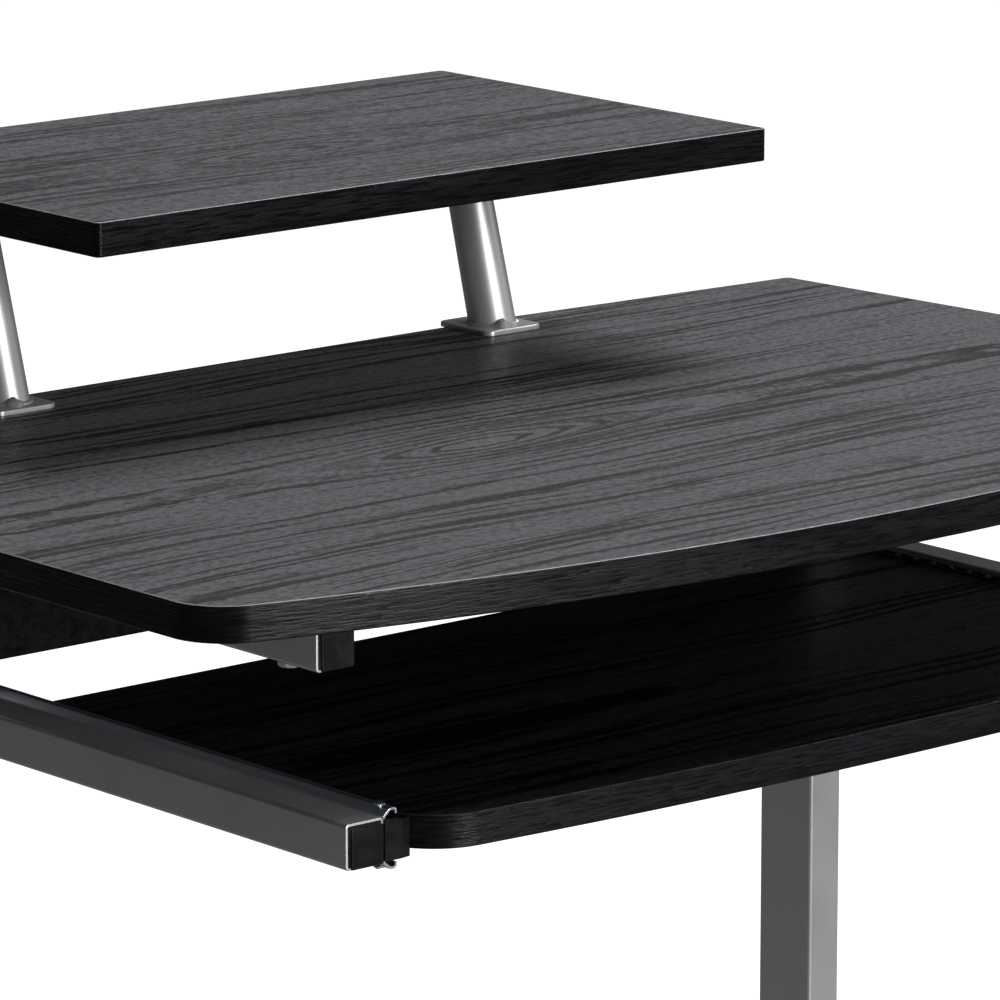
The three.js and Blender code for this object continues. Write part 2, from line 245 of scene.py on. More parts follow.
def laminate_look(name, eye, shift, depth=1.0, ior=1.3, figured=1.0):
    """Black oak print; depth scales how light its ground is, and a depth below 1 darkens the whole board as
    painted shade; figured sets how dark its lines are.
    """
    look = Look(name, IOR=ior)
    lines, blotches, pores, fine = grain(look, eye, shift)
    figure = look.math("ADD", look.math("MULTIPLY", lines, 0.62 * figured),
                       look.math("MULTIPLY", blotches, 0.26 * figured))
    texture = look.math("ADD", look.math("MULTIPLY", pores, 0.22), look.math("MULTIPLY", fine, 0.46))
    tone = look.math("SUBTRACT", look.math("ADD", figure, texture), 0.17, clamp=True)
    stops = ((0.0, 0.092), (0.18, 0.060), (0.45, 0.024), (0.75, 0.009), (1.0, 0.004))
    colour = look.ramp(tone, *((at, (grey * depth, grey * depth, grey * depth * 1.08)) for at, grey in stops))
    cut = look.math("ADD", lines, look.math("MULTIPLY", pores, 0.5))
    height = look.math("SUBTRACT", look.math("MULTIPLY", fine, 0.5), cut)
    return look.use(colour, look.remap(tone, 0.0, 1.0, 0.38, 0.62), height, 0.00004)


def edging_look(name, rim_highlight_grey):
    """Black plastic edging; the second argument is the grey of a painted highlight along its upward-facing
    rim.
    """
    look = Look(name, IOR=1.22)
    streaks = look.noise((60.0, 60.0, 900.0), detail=3.0, rough=0.6)
    patches = look.noise((9.0, 9.0, 90.0), detail=2.0)
    tone = look.math("MULTIPLY", look.remap(streaks, 0.35, 0.65), look.remap(patches, 0.35, 0.65, 0.3, 1.0))
    surface = look.add("ShaderNodeNewGeometry")
    normal = look.add("ShaderNodeSeparateXYZ", {"Vector": surface.outputs["Normal"]})
    # Painted highlight: faces that point up turn grey along the rim, where light from above catches it
    faces_up = look.remap(normal.outputs["Z"], 0.35, 0.8)
    rim_highlight = look.math("MULTIPLY", faces_up, look.math("ADD", look.math("MULTIPLY", tone, 0.15), 0.8))
    shade = look.math("MAXIMUM", look.math("MULTIPLY", tone, 0.5), rim_highlight)
    colour = look.ramp(shade, (0.0, (0.0008, 0.0012, 0.0016)), (0.5, (0.005, 0.0055, 0.007)),
                       (1.0, (rim_highlight_grey, rim_highlight_grey, rim_highlight_grey * 1.04)))
    return look.use(colour, look.remap(streaks, 0.3, 0.7, 0.24, 0.40), tone, 0.0002)


def silver_look():
    look = Look("silver_paint", Metallic=0.75)
    flakes = look.noise((2600.0, 2600.0, 2600.0), detail=1.0)
    cloud = look.noise((14.0, 14.0, 14.0), detail=3.0)
    peel = look.noise((420.0, 420.0, 420.0), detail=1.0)
    tone = look.math("ADD", look.math("MULTIPLY", flakes, 0.6), look.math("MULTIPLY", cloud, 0.4))
    colour = look.ramp(tone, (0.3, (0.36, 0.355, 0.355)), (0.7, (0.53, 0.525, 0.53)))
    return look.use(colour, look.remap(cloud, 0.3, 0.7, 0.34, 0.42), peel, 0.00001)


def plastic_look():
    look = Look("black_plastic", IOR=1.27)
    stipple = look.noise((1500.0, 1500.0, 1500.0), detail=2.0)
    scuff = look.noise((60.0, 60.0, 60.0), detail=3.0, rough=0.6)
    colour = look.ramp(scuff, (0.3, (0.001, 0.001, 0.0014)), (0.75, (0.006, 0.006, 0.007)))
    return look.use(colour, look.remap(scuff, 0.3, 0.7, 0.28, 0.46), stipple, 0.00002)


def zinc_look():
    look = Look("zinc", Metallic=1.0)
    drawn = look.noise((900.0, 14.0, 900.0), detail=2.0, rough=0.6)
    bloom = look.noise((110.0, 110.0, 110.0), detail=3.0, rough=0.6)
    tone = look.math("ADD", look.math("MULTIPLY", drawn, 0.7), look.math("MULTIPLY", bloom, 0.3))
    colour = look.ramp(tone, (0.3, (0.38, 0.42, 0.47)), (0.7, (0.56, 0.60, 0.65)))
    return look.use(colour, look.remap(tone, 0.3, 0.7, 0.28, 0.34), drawn, 0.000004)


LOOKS = {
    "desk_laminate": laminate_look("desk_laminate", (-0.055, -0.042), (0.0, 0.0, 0.0)),
    "shelf_laminate": laminate_look("shelf_laminate", (-0.040, 0.133), (3.1, 5.2, 1.4), figured=0.65),
    # A copy of the laminate darkened to 0.12, painted shade for the tray and apron that lie under the desktop
    "shaded_laminate": laminate_look("shaded_laminate", (0.290, -0.160), (6.3, 2.6, 4.8), 0.12, 1.10),
    # Lit and shaded copies of one edging: desk and shelf bands carry a bright painted highlight on the rim,
    # and the tray's carries a faint one as painted shade under the desktop
    "edge_band": edging_look("edge_band", 0.24),
    "tray_edge_band_shaded": edging_look("tray_edge_band_shaded", 0.02),
    "silver_paint": silver_look(),
    "black_plastic": plastic_look(),
    "zinc": zinc_look(),
}


# ---- Outlines: functions from an inset to a list of points, and what shapes them ----


def rounded(width, height, radius, steps=6):
    """A rectangle with round corners, about the origin."""

    def outline(inset=0.0):
        corner = max(radius - inset, 0.02)
        x, y = width / 2 - inset - corner, height / 2 - inset - corner
        points = []
        for quarter, (cx, cy) in enumerate(((x, y), (-x, y), (-x, -y), (x, -y))):
            for step in range(steps + 1):
                angle = (quarter + step / steps) * math.pi / 2
                points.append((cx + corner * math.cos(angle), cy + corner * math.sin(angle)))
        return points

    return outline


def polar(radius, sides=48, stretch=1.0):
    """A star-shaped outline; radius is a number or a function of the angle."""
    reach = radius if callable(radius) else (lambda angle: radius)

    def outline(inset=0.0):
        points = []
        for i in range(sides):
            angle = 2 * math.pi * i / sides
            r = reach(angle) - inset
            points.append((r * math.cos(angle), r * math.sin(angle) * stretch))
        return points

    return outline


def hexagon(flat):
    """A hexagon's radius at an angle; flat is half the width across its flats."""
    return lambda angle: flat / math.cos((angle + math.pi / 6) % (math.pi / 3) - math.pi / 6)


def cross(arm, width):
    """The radius at an angle of a cross with arms of that length and width."""

    def bar(along, over):
        return min(arm / max(along, 1e-6), width / 2 / max(over, 1e-6))

    def reach(angle):
        c, s = abs(math.cos(angle)), abs(math.sin(angle))
        return max(bar(c, s), bar(s, c))

    return reach


def fillet(corners, steps, closed=True):
    """Replaces each corner of a polygon by an arc; corners are (x, y, radius)."""
    points = []
    for i, (x, y, radius) in enumerate(corners):
        corner = Vector((x, y))
        if radius <= 0 or (not closed and i in (0, len(corners) - 1)):
            points.append((x, y))
            continue
        before = (Vector(corners[i - 1][:2]) - corner).normalized()
        after = (Vector(corners[(i + 1) % len(corners)][:2]) - corner).normalized()
        half = math.acos(max(-1.0, min(1.0, before.dot(after)))) / 2
        start = corner + before * (radius / math.tan(half))
        centre = corner + (before + after).normalized() * (radius / math.sin(half))
        arm = start - centre
        turn = math.copysign(math.pi - 2 * half, before.x * after.y - before.y * after.x) * -1
        for step in range(steps + 1):
            spun = Matrix.Rotation(turn * step / steps, 2) @ arm
            points.append(tuple(centre + spun))
    return points


def bowed_front(half, front, bow, corner, chords):
    """Corners of a bowed front edge, from left to right."""
    row = []
    for i in range(chords + 1):
        x = half * (2 * i / chords - 1)
        row.append((x, front + bow - math.sqrt(bow * bow - x * x), corner if i in (0, chords) else 0))
    return row


def desk_outline(low, high):
    def outline(inset=0.0):
        half, back = high.x - inset, high.y - inset
        right = [
            (half, high.y - DESK_TAPER_SIDE, 0),
            (half - DESK_TAPER, back - DESK_TAPER, DESK_BACK_CORNER - inset),
            (DESK_TAPER_BACK, back, 0),
        ]
        left = [(-x, y, r) for x, y, r in reversed(right)]
        front = bowed_front(half, low.y + inset, DESK_BOW - inset, DESK_FRONT_CORNER - inset, DESK_BOW_CHORDS)
        return fillet(front + right + left, 12)

    return outline


def tray_outline(low, high):
    half_width, middle = (high.x - low.x) / 2, (high.x + low.x) / 2

    def outline(inset=0.0):
        half, back = half_width - inset, high.y - inset
        front = bowed_front(half, low.y + inset, TRAY_BOW - inset, TRAY_FRONT_CORNER - inset, TRAY_BOW_CHORDS)
        corner = TRAY_BACK_CORNER - inset
        points = fillet(front + [(half, back, corner), (-half, back, corner)], 12)
        return [(x + middle, y) for x, y in points]

    return outline


def shelf_outline(low, high):
    middle = (low + high) / 2
    base = rounded(high.x - low.x, high.y - low.y, SHELF_CORNER)
    return lambda inset=0.0: [(x + middle.x, y + middle.y) for x, y in base(inset)]


def shrunk(points, inset):
    """The points drawn towards their middle by about the inset."""
    middle = sum((Vector(point) for point in points), Vector((0, 0))) / len(points)
    pulled = []
    for point in points:
        away = Vector(point) - middle
        pulled.append(tuple(middle + away * max(0.0, 1 - inset / max(away.length, inset))))
    return pulled


def strip(centreline, thickness):
    """The closed outline of a folded strip of sheet metal."""
    left, right = [], []
    line = [Vector(p) for p in centreline]
    for i, point in enumerate(line):
        into = (line[i] - line[i - 1]).normalized() if i else (line[1] - line[0]).normalized()
        out = (line[i + 1] - line[i]).normalized() if i < len(line) - 1 else into
        along = (into + out).normalized()
        normal = Vector((-along.y, along.x)) * (thickness / 2 / max(along.dot(into), 0.5))
        left.append(tuple(point + normal))
        right.append(tuple(point - normal))
    return left + right[::-1]


# ---- Profiles: lists of (inset, height) ----


def eased(length, radius, steps=3, foot=None):
    """From one end cap to the other, with rounded rims; foot is the first rim's own radius."""
    foot = radius if foot is None else foot
    rise = [(foot * (1 - math.sin(a)), foot * (1 - math.cos(a)))
            for a in (math.pi / 2 * k / steps for k in range(steps + 1))]
    fall = [(radius * (1 - math.sin(a)), length - radius * (1 - math.cos(a)))
            for a in (math.pi / 2 * k / steps for k in range(steps, -1, -1))]
    return rise + fall


def sleeve(length, wall, rim=0.3):
    """Round the wall of a tube; the last ring joins the first."""
    return eased(length, rim, 2) + [(wall - 0.1, length), (wall, length - 0.1), (wall, 0.1), (wall - 0.1, 0)]


# ---- Meshes ----


def node_box(node):
    """A CAD node's lowest corner, highest corner and middle, in millimetres."""
    low, high = (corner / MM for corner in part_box(node))
    return low, high, (low + high) / 2


def loft(bm, rings, closed=False):
    """Joins equal rings of points; closed joins the last ring to the first."""
    rows = [[bm.verts.new(point) for point in ring] for ring in rings]
    pairs = list(zip(rows, rows[1:]))
    if closed:
        pairs.append((rows[-1], rows[0]))
    for near, far in pairs:
        for i in range(len(near)):
            j = (i + 1) % len(near)
            bm.faces.new((near[i], near[j], far[j], far[i]))
    if not closed:
        bm.faces.new(rows[0][::-1])
        bm.faces.new(rows[-1])


def solid(bm, outline, profile, origin, axes=UP, closed=False):
    """A loft whose rings are one outline at the profile's insets and heights."""
    base = Vector(origin)
    rings = [[base + axes @ Vector((u, v, height)) for u, v in outline(inset)] for inset, height in profile]
    loft(bm, rings, closed)


def axes_box(node, axes):
    """A node's width, height and length along the axes, and the middle of its first end."""
    low, high, middle = node_box(node)
    width, height, length = (abs(size) for size in axes.transposed() @ (high - low))
    return width, height, length, middle - axes @ Vector((0, 0, length / 2))


def finish_piece(name, bm, look, node, stands_for=(), bevel=0.0):
    """Makes the piece, gives it its look and lets it ride with the node's body.

    The slot is the look's own, and bevel is the width of its eased edges.
    """
    bmesh.ops.recalc_face_normals(bm, faces=bm.faces)
    bm.transform(Matrix.Scale(MM, 4))
    mesh = bpy.data.meshes.new(name)
    bm.to_mesh(mesh)
    bm.free()
    mesh.shade_smooth()
    mesh.set_sharp_from_angle(angle=math.radians(38))
    mesh.materials.append(LOOKS[look])
    piece = bpy.data.objects.new(name, mesh)
    bpy.context.scene.collection.objects.link(piece)
    if bevel:
        edge = piece.modifiers.new("eased_edges", "BEVEL")
        edge.width, edge.segments, edge.limit_method = bevel * MM, 2, "ANGLE"
        edge.angle_limit = math.radians(40)
        edge.harden_normals = True
    else:
        piece.modifiers.new("flat_shading", "WEIGHTED_NORMAL").keep_sharp = True
    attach(piece, frame["nodes"][node]["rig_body"])
    if stands_for:
        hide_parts(*stands_for)


# ---- Boards ----


def add_board(name, outline_of, look, edging="edge_band"):
    """A laminated board and the plastic band round its edge."""
    board, band = f"{name}_board", f"{name}_edge_band"
    low, high, _ = node_box(band)
    outline = outline_of(low, high)
    thickness = high.z - low.z
    bm = bmesh.new()
    core = [(inset + BAND, height) for inset, height in eased(thickness, 0.12, 1)]
    solid(bm, outline, core, (0, 0, low.z))
    finish_piece(f"{name}_panel", bm, look, board, [board])
    bm = bmesh.new()
    ring = eased(thickness, ARRIS, 4) + [(BAND, thickness), (BAND, 0)]
    solid(bm, outline, ring, (0, 0, low.z), closed=True)
    finish_piece(f"{name}_edging", bm, edging, band, [band])


add_board("desktop", desk_outline, "desk_laminate")
add_board("monitor_shelf", shelf_outline, "shelf_laminate")
add_board("keyboard_tray", tray_outline, "shaded_laminate", "tray_edge_band_shaded")


def add_apron():
    low, high, middle = node_box("apron_panel")
    bm = bmesh.new()
    section = rounded(high.y - low.y, high.z - low.z, 1.0, 3)
    solid(bm, section, eased(high.x - low.x, 0.6), (low.x, middle.y, middle.z), RIGHTWARDS)
    # The apron takes the darkened laminate: painted shade, as it stands under the desktop
    finish_piece("apron_board", bm, "shaded_laminate", "apron_panel", ["apron_panel"])


add_apron()


# ---- Steel frame ----


def add_tube(node, axes):
    """A hollow rectangular tube along the node's box; axes says which way it runs."""
    width, height, length, base = axes_box(node, axes)
    bm = bmesh.new()
    solid(bm, rounded(width, height, TUBE_CORNER), sleeve(length, WALL), base, axes, closed=True)
    finish_piece(f"{node}_hollow", bm, "silver_paint", node, [node])


def add_plug(node, axes):
    """A plastic plug; seen from outside, its face laps the tube's rim on the right and below."""
    width, height, length, base = axes_box(node, axes)
    bm = bmesh.new()
    tail = [(0.6, 0.0), (0.0, 0.6), (0.0, length - PLUG_PROUD + 0.1)]
    solid(bm, rounded(width, height, 0.9), tail, base, axes)
    lap = WALL + PLUG_GAP
    shift = (lap + PLUG_GROOVE) / 2
    wider = lap - PLUG_GROOVE
    face = [(0.25, length - PLUG_PROUD + 0.02), (0.0, length - PLUG_PROUD + 0.22), (0.0, length - 0.45),
            (0.2, length - 0.15), (0.65, length), (1.6, length), (1.9, length - 0.15)]
    seat = base + axes @ Vector((shift, 0, 0)) - Vector((0, 0, shift))
    solid(bm, rounded(width + wider, height + wider, 1.3), face, seat, axes)
    finish_piece(f"{node}_plug", bm, "black_plastic", node, [node])


def dense(outline, spacing):
    """Points along an outline, each with its outward direction."""
    here, outer = outline(0.0), outline(-1.0)
    points = []
    for i, point in enumerate(here):
        j = (i + 1) % len(here)
        a, b = Vector(point), Vector(here[j])
        da, db = Vector(outer[i]) - a, Vector(outer[j]) - b
        steps = max(1, int((b - a).length / spacing))
        for step in range(steps):
            share = step / steps
            points.append((a.lerp(b, share), da.lerp(db, share)))
    return points


def add_weld(name, outline, origin, axes, size, node, lump=None):
    """A rippled bead round a section; lump is (angle, extra size)."""
    path = dense(outline, BEAD_STEP)
    run = 0.0
    rings = []
    for i, (point, outward) in enumerate(path):
        run += (point - path[i - 1][0]).length if i else 0
        scatter = random.uniform(-BEAD_SCATTER, BEAD_SCATTER)
        radius = size * (1 + BEAD_RIPPLE * math.sin(run * BEAD_WAVE) + scatter)
        if lump:
            away = abs((math.atan2(point.y, point.x) - lump[0] + math.pi) % (2 * math.pi) - math.pi)
            radius += lump[1] * math.exp(-(away / LUMP_WIDTH) ** 2)
        ring = []
        for k in range(BEAD_SIDES):
            angle = 2 * math.pi * k / BEAD_SIDES
            flat = point + outward * (radius * math.cos(angle))
            ring.append(Vector(origin) + axes @ Vector((flat.x, flat.y, radius * math.sin(angle))))
        rings.append(ring)
    bm = bmesh.new()
    loft(bm, rings, closed=True)
    finish_piece(name, bm, "silver_paint", node)


def add_tube_weld(name, node, axes, end, size):
    """A bead round a rectangular tube, at the start or the end of its run."""
    width, height, length, base = axes_box(node, axes)
    seat = base + axes @ Vector((0, 0, length if end == "end" else 0.0))
    add_weld(name, rounded(width, height, TUBE_CORNER), seat, axes, size, node)


def stacked(bm, rings, base, axes=UP):
    """A loft of different outlines; rings are (outline, height)."""
    loft(bm, [[base + axes @ Vector((u, v, height)) for u, v in outline] for outline, height in rings])


def head_size(node, axes):
    """The radius and height of a fastener's head."""
    low, high, _ = node_box(node)
    _, _, height, _ = axes_box(node, axes)
    return (high.y - low.y) / 2, height


def add_head(node, axes, rings):
    """A fastener's head, from its seat outwards."""
    *_, base = axes_box(node, axes)
    bm = bmesh.new()
    stacked(bm, rings, base, axes)
    finish_piece(f"{node}_head", bm, "zinc", node, [node])


def dome(radius, height, seat, steps):
    """The rounded rings of a head; seat is the share of its height below them."""
    angles = (math.pi / 2 * k / 8 for k in range(steps))
    return [(polar(radius * math.cos(a))(), height * (seat + (1 - seat) * math.sin(a))) for a in angles]


def add_hex_bolt(node, axes):
    radius, height = head_size(node, axes)
    flat = radius * 0.86

    def chamfer(angle):
        return min(hexagon(flat)(angle), flat * 1.04)

    rings = [
        (polar(flat * 1.42)(), 0.0), (polar(flat * 1.46)(), 0.3), (polar(flat * 1.46)(), 0.8),
        (polar(flat * 1.38)(), 1.0), (polar(hexagon(flat))(0.1), 1.0), (polar(hexagon(flat))(), 1.2),
        (polar(hexagon(flat))(), height - 0.5), (polar(chamfer)(0.15), height),
        (polar(flat * 0.7)(), height), (polar(flat * 0.62)(), height - 0.25),
    ]
    add_head(node, axes, rings)


def add_socket_bolt(node, axes):
    radius, height = head_size(node, axes)
    socket = polar(hexagon(radius * 0.36))
    rings = [(polar(radius * 0.94)(), 0.0)] + dome(radius, height, 0.12, 6) + [
        (polar(radius * 0.5)(), height), (socket(-0.2), height), (socket(), height - 0.3), (socket(), 1.0)]
    add_head(node, axes, rings)


def add_cross_screw(node, axes):
    radius, height = head_size(node, axes)
    drive = polar(cross(radius * 0.52, radius * 0.24))
    small = polar(cross(radius * 0.2, radius * 0.16))
    rings = [(polar(radius * 0.95)(), 0.0)] + dome(radius, height, 0.15, 7) + [
        (polar(radius * 0.6)(), height), (drive(-0.08), height), (drive(), height - 0.1), (small(), 0.7)]
    add_head(node, axes, rings)


def add_glide(node):
    """A ribbed plastic foot with a hexagon nut on top."""
    low, high, middle = node_box(node)
    radius = (high.x - low.x) / 2
    height = high.z - low.z

    def ribbed(angle):
        return radius - 0.5 + 0.5 * math.cos(24 * angle)

    def ring(reach):
        return polar(reach, GLIDE_SIDES)()

    nut = polar(hexagon(6.5), GLIDE_SIDES)
    rings = [
        (ring(radius - 1.6), 0.0), (ring(radius - 0.6), 0.4), (ring(ribbed), 1.2), (ring(ribbed), 4.0),
        (ring(radius - 1.2), 4.9), (ring(radius - 3), 5.2), (ring(9.0), 5.6),
        (nut(), 5.8), (nut(), height - 0.3), (nut(0.4), height),
    ]
    bm = bmesh.new()
    stacked(bm, rings, Vector((middle.x, middle.y, low.z)))
    finish_piece(f"{node}_foot", bm, "black_plastic", node, [node])


add_tube("crossbar_tube", RIGHTWARDS)
for side, sign in SIDES.items():
    add_tube(f"leg_tube_{side}", UP)
    for tube in ("upper_arm", "lower_arm", "foot"):
        add_tube(f"{tube}_tube_{side}", FORWARDS)
    for cap in ("upper_arm_cap_front", "lower_arm_cap", "foot_cap_front"):
        add_plug(f"{cap}_{side}", FORWARDS)
    for cap in ("upper_arm_cap_back", "foot_cap_back"):
        add_plug(f"{cap}_{side}", BACKWARDS)
    for end in ("front", "back"):
        add_glide(f"glide_{end}_{side}")
        add_hex_bolt(f"desktop_bolt_{end}_{side}", DOWN)
    add_socket_bolt(f"apron_bolt_{side}", RIGHTWARDS if sign > 0 else LEFTWARDS)

    leg, arm, bar = f"leg_tube_{side}", f"lower_arm_tube_{side}", "crossbar_tube"
    add_tube_weld(f"weld_leg_top_{side}", leg, UP, "end", 1.5)
    add_tube_weld(f"weld_leg_foot_{side}", leg, UP, "start", 1.6)
    add_tube_weld(f"weld_lower_arm_{side}", arm, FORWARDS, "start", 1.4)
    add_tube_weld(f"weld_crossbar_{side}", bar, RIGHTWARDS, "end" if sign > 0 else "start", 1.5)


# ---- Slides, screwed to the tray's side edges ----


def add_strip(name, node, centreline, thickness, bevel=0.22):
    """A folded strip that runs the length of the node; the centreline is in X and Z."""
    low, high, _ = node_box(node)
    section = strip(centreline, thickness)
    bm = bmesh.new()
    loft(bm, [[(x, y, z) for x, z in section] for y in (low.y, high.y)])
    finish_piece(name, bm, "zinc", node, [node], bevel=bevel)


def slide_faces(node, inward):
    """The X of a node's face towards its arm, and of its face towards the tray."""
    low, high, _ = node_box(node)
    return (low.x, high.x) if inward > 0 else (high.x, low.x)


def race_line(node, inward):
    """The outer race's section, from its lower lip round the web to its upper lip."""
    low, high, middle = node_box(node)
    arm_face, _ = slide_faces(node, inward)
    half = (high.z - low.z - SLIDE_WALL) / 2
    near = SLIDE_WALL / 2
    far = high.x - low.x - near
    rise = [(near + 0.35, half * 0.3, 0.8), (near, half * 0.42, 0.8), (near, half - 3.0, 1.0),
            (far - 3.2, half, 1.6), (far, half, 1.2), (far, half - SLIDE_LIP + near, 0)]
    corners = [(u, -v, radius) for u, v, radius in reversed(rise)] + rise
    return [(arm_face + inward * u, middle.z + v) for u, v in fillet(corners, 5, closed=False)]


def channel_line(node, web, direction, wall):
    """A channel's section: its flanges run from the web's X in the direction."""
    low, high, middle = node_box(node)
    depth, half, near = high.x - low.x, (high.z - low.z - wall) / 2, wall / 2
    corners = [(depth, -half, 0), (near, -half, 1.2), (near, half, 1.2), (depth, half, 0)]
    return [(web + direction * u, middle.z + v) for u, v in fillet(corners, 5, closed=False)]


def add_outer_race(side, inward):
    """The race on the arm, with its fixing screws and its two stops."""
    node = f"slide_outer_{side}"
    low, high, middle = node_box(node)
    arm_face, _ = slide_faces(node, inward)
    add_strip(f"slide_outer_race_{side}", node, race_line(node, inward), SLIDE_WALL)
    drive = polar(cross(1.7, 0.8))
    pan = [(polar(3.2)(), 0.0), (polar(3.1)(), 0.15), (polar(2.2)(), 0.3), (drive(), 0.3),
           (drive(0.15), 0.1)]
    for place, share in (("front", 0.12), ("middle", 0.5), ("back", 0.9)):
        y = low.y + (high.y - low.y) * share
        seat = Vector((arm_face + inward * (SLIDE_WALL + 0.36), y, middle.z))
        bm = bmesh.new()
        loft(bm, [[seat + Vector((inward * h, u, v)) for u, v in outline] for outline, h in pan])
        finish_piece(f"slide_screw_{place}_{side}", bm, "zinc", node)
    for place, up, axes in (("top", 1, UP), ("bottom", -1, DOWN)):
        lip = middle.z + up * ((high.z - low.z) / 2 - 0.4)
        seat = (arm_face + inward * 4.6, low.y + STOP_SETBACK, lip)
        tilt = Matrix.Rotation(0.28, 3, "X") @ axes
        bm = bmesh.new()
        solid(bm, rounded(5.0, 3.4, 0.6, 3), eased(1.3, 0.35, 2), seat, tilt)
        finish_piece(f"slide_stop_{place}_{side}", bm, "zinc", node)


def add_inner_rail(side, inward):
    node = f"slide_inner_{side}"
    _, web = slide_faces(node, inward)
    add_strip(f"slide_inner_rail_{side}", node, channel_line(node, web, -inward, SLIDE_WALL), SLIDE_WALL)


def add_ball_cage(side, inward):
    """The ball retainer, with a row of balls above and one below."""
    node = f"slide_ball_retainer_{side}"
    low, high, middle = node_box(node)
    web, _ = slide_faces(node, inward)
    add_strip(f"ball_cage_{side}", node, channel_line(node, web, inward, CAGE_WALL), CAGE_WALL, 0.12)
    off_web, off_middle = BALL_OFFSET
    bm = bmesh.new()
    for i in range(BALLS_IN_ROW):
        y = low.y + (high.y - low.y) * (i + 0.5) / BALLS_IN_ROW
        for up in (-1, 1):
            centre = Vector((web + inward * off_web, y, middle.z + up * off_middle))
            bmesh.ops.create_uvsphere(bm, u_segments=16, v_segments=10, radius=BALL_RADIUS,
                                      matrix=Matrix.Translation(centre))
    finish_piece(f"balls_{side}", bm, "zinc", node)


def add_bumper(side, inward):
    """A block in the slide's mouth behind a flange whose face comes to a ridge."""
    node = f"slide_bumper_{side}"
    low, high, middle = node_box(node)
    height, depth = high.z - low.z, high.y - low.y
    near, far = slide_faces(node, inward)
    arm_face, _ = slide_faces(f"slide_outer_{side}", inward)
    bm = bmesh.new()
    inner, outer = BUMPER_BLOCK
    at = arm_face + inward * (inner + outer) / 2
    block = [(0.8, 0.0), (0.0, 0.8), (0.0, depth - BUMPER_FLANGE)]
    solid(bm, rounded(outer - inner, height - 0.6, 1.0), block, (at, high.y, middle.z), FORWARDS)
    ridge = near + (far - near) * BUMPER_RIDGE
    back = low.y + BUMPER_FLANGE
    plan = fillet([(near, back, 0.1), (near, low.y + 0.25, 0.2), (ridge, low.y, 0.2),
                   (far, low.y + 0.9, 0.1), (far, back, 0.05)], 3)
    rings = []
    for share, inset in ((-1, 0.25), (-0.96, 0.0), (0.96, 0.0), (1, 0.25)):
        ring = []
        for x, y in shrunk(plan, inset):
            slope = BUMPER_SLOPE * (x - near) / (far - near) if share > 0 else 0.0
            ring.append((x, y, middle.z + share * height / 2 - slope))
        rings.append(ring)
    loft(bm, rings)
    finish_piece(f"{node}_block", bm, "black_plastic", node, [node])


def add_slide(side, sign):
    inward = -sign
    add_outer_race(side, inward)
    add_inner_rail(side, inward)
    add_ball_cage(side, inward)
    add_bumper(side, inward)
    for end in ("front", "back"):
        add_cross_screw(f"tray_screw_{end}_{side}", RIGHTWARDS if sign > 0 else LEFTWARDS)


# ---- Posts under the monitor shelf ----


def add_post(side):
    """A leaning, tapering tube with its welds, plates and shelf screws."""
    node = f"post_{side}"
    low, high, middle = node_box(node)
    mesh = frame["nodes"][node].data
    foot_y = [v.co.y / MM for v in mesh.vertices if v.co.z / MM < low.z + 0.5]
    head_y = [v.co.y / MM for v in mesh.vertices if v.co.z / MM > high.z - 0.5]
    head_x = [v.co.x / MM for v in mesh.vertices if v.co.z / MM > high.z - 0.5]
    foot = Vector((middle.x, (min(foot_y) + max(foot_y)) / 2, low.z))
    head = Vector((middle.x, (min(head_y) + max(head_y)) / 2, high.z))
    foot_radius, head_radius = (high.x - low.x) / 2, (max(head_x) - min(head_x)) / 2
    stretch = (max(foot_y) - min(foot_y)) / 2 / foot_radius
    rings = []
    for wall, order in ((0.0, range(POST_STEPS + 1)), (POST_WALL, range(POST_STEPS, -1, -1))):
        for step in order:
            share = step / POST_STEPS
            radius = foot_radius + (head_radius - foot_radius) * share - wall
            centre = foot.lerp(head, share)
            rings.append([centre + Vector((u, v, 0)) for u, v in polar(radius, POST_SIDES, stretch)()])
    bm = bmesh.new()
    loft(bm, rings, closed=True)
    finish_piece(f"{node}_tube", bm, "silver_paint", node, [node])

    foot_section = polar(foot_radius, POST_SIDES, stretch)
    head_section = polar(head_radius, POST_SIDES, stretch)
    add_weld(f"weld_post_foot_{side}", foot_section, foot, UP, 1.5, node, POST_LUMP)
    add_weld(f"weld_post_head_{side}", head_section, head, UP, 1.4, node)
    for plate in (f"post_base_plate_{side}", f"post_top_plate_{side}"):
        width, depth, thickness, base = axes_box(plate, UP)
        bm = bmesh.new()
        solid(bm, rounded(width, depth, PLATE_CORNER, 8), eased(thickness, 0.8, 4, 0.2), base)
        finish_piece(f"{plate}_steel", bm, "silver_paint", plate, [plate])
    for end in ("front", "back"):
        add_cross_screw(f"shelf_screw_{end}_{side}", DOWN)


for side, sign in SIDES.items():
    add_slide(side, sign)
    add_post(side)


# ---- Floor, light and camera ----


def add_light(name, place, target, size, power):
    """A soft rectangle of light, in metres and watts, that the camera doesn't see."""
    lamp = bpy.data.lights.new(name, "AREA")
    lamp.shape, lamp.size, lamp.size_y = "RECTANGLE", *size
    lamp.energy = power
    holder = bpy.data.objects.new(name, lamp)
    holder.location = place
    holder.rotation_euler = (Vector(target) - Vector(place)).to_track_quat("-Z", "Y").to_euler()
    holder.visible_camera = False
    bpy.context.scene.collection.objects.link(holder)


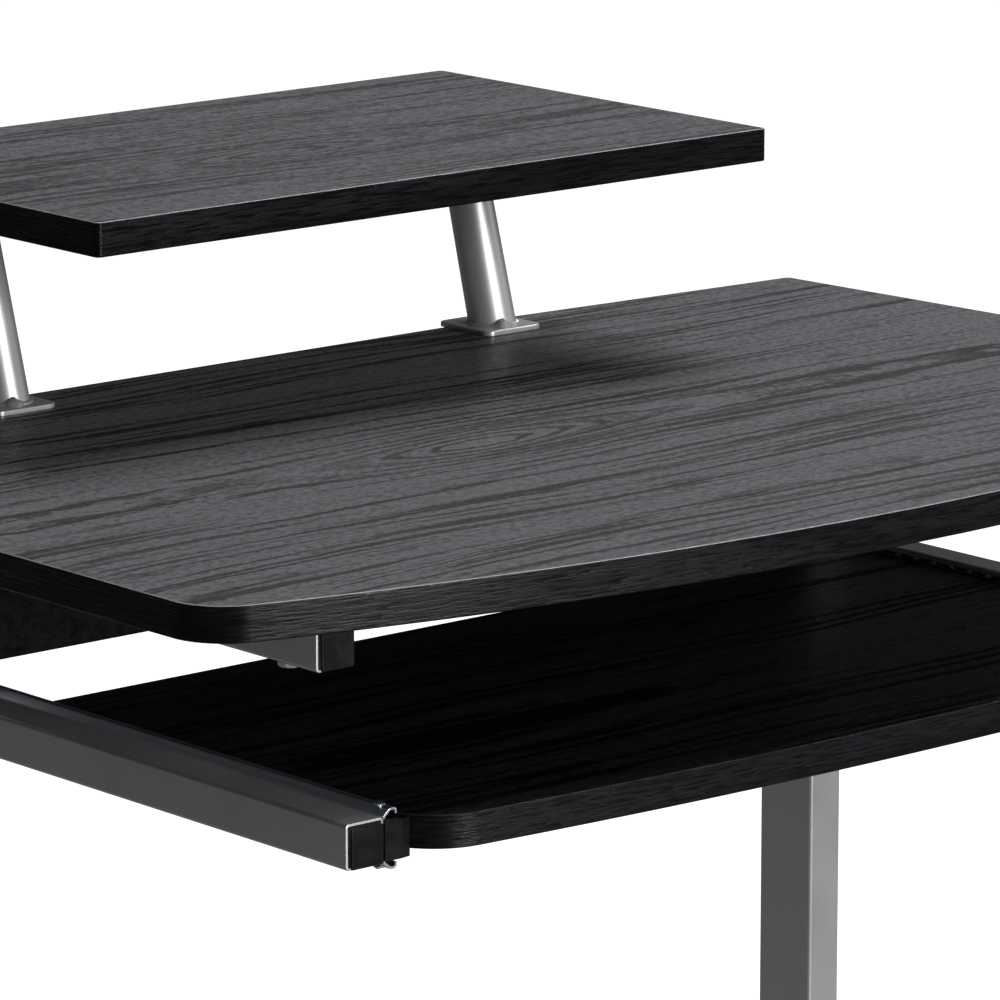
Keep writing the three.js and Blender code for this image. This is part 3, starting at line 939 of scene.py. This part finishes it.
def add_floor():
    """A pale floor that glows for the camera alone, so that it doesn't light the desk."""
    bm = bmesh.new()
    bmesh.ops.create_grid(bm, x_segments=1, y_segments=1, size=FLOOR_HALF_SIZE)
    mesh = bpy.data.meshes.new("floor")
    bm.to_mesh(mesh)
    bm.free()
    look = Look("floor_paper", Roughness=0.9)
    nodes, links = look.tree.nodes, look.tree.links
    path = nodes.new("ShaderNodeLightPath")
    shine = nodes.new("ShaderNodeEmission")
    shine.inputs["Color"].default_value = (1, 1, 1, 1)
    shine.inputs["Strength"].default_value = FLOOR_GLOW
    look.shader.inputs["Base Color"].default_value = (FLOOR_GREY, FLOOR_GREY, FLOOR_GREY, 1)
    both = nodes.new("ShaderNodeAddShader")
    links.new(look.shader.outputs[0], both.inputs[0])
    links.new(shine.outputs[0], both.inputs[1])
    pick = nodes.new("ShaderNodeMixShader")
    links.new(path.outputs["Is Camera Ray"], pick.inputs[0])
    links.new(look.shader.outputs[0], pick.inputs[1])
    links.new(both.outputs[0], pick.inputs[2])
    links.new(pick.outputs[0], nodes["Material Output"].inputs["Surface"])
    mesh.materials.append(look.material)
    floor = bpy.data.objects.new("floor", mesh)
    bpy.context.scene.collection.objects.link(floor)


def add_sky():
    """A white backdrop for the camera and a faint light for everything else."""
    world = bpy.data.worlds.new("studio")
    bpy.context.scene.world = world
    world.use_nodes = True
    nodes, links = world.node_tree.nodes, world.node_tree.links
    path = nodes.new("ShaderNodeLightPath")
    seen = nodes.new("ShaderNodeBackground")
    seen.inputs["Color"].default_value = (1, 1, 1, 1)
    felt = nodes["Background"]
    felt.inputs["Color"].default_value = (0.92, 0.96, 1, 1)
    felt.inputs["Strength"].default_value = SKY_STRENGTH
    pick = nodes.new("ShaderNodeMixShader")
    links.new(path.outputs["Is Camera Ray"], pick.inputs[0])
    links.new(felt.outputs[0], pick.inputs[1])
    links.new(seen.outputs[0], pick.inputs[2])
    links.new(pick.outputs[0], nodes["World Output"].inputs["Surface"])


add_floor()
add_sky()
add_light("softbox", (2.0, 0.2, 5.0), (0, 0, 0.8), (2.9, 2.9), 350)
add_light("backdrop", (2.1, 2.6, 1.7), (0, 0, 0.9), (4.0, 2.2), 0.5)
add_light("key", (0.25, -3.0, 1.3), (0, 0, 0.75), (0.5, 1.7), 106)
add_light("right_fill", (3.2, -1.4, 1.3), (0, 0, 0.7), (1.6, 2.2), 9)

camera = bpy.data.cameras.new("camera")
camera.lens, camera.sensor_width = CAMERA_LENS, 36.0
camera.clip_start, camera.clip_end = 0.05, 200.0
viewer = bpy.data.objects.new("camera", camera)
viewer.location = CAMERA_PLACE
viewer.rotation_euler = (math.radians(CAMERA_TILT), 0, math.radians(CAMERA_TURN))
bpy.context.scene.collection.objects.link(viewer)
bpy.context.scene.camera = viewer
bpy.context.scene.view_settings.view_transform = "Standard"
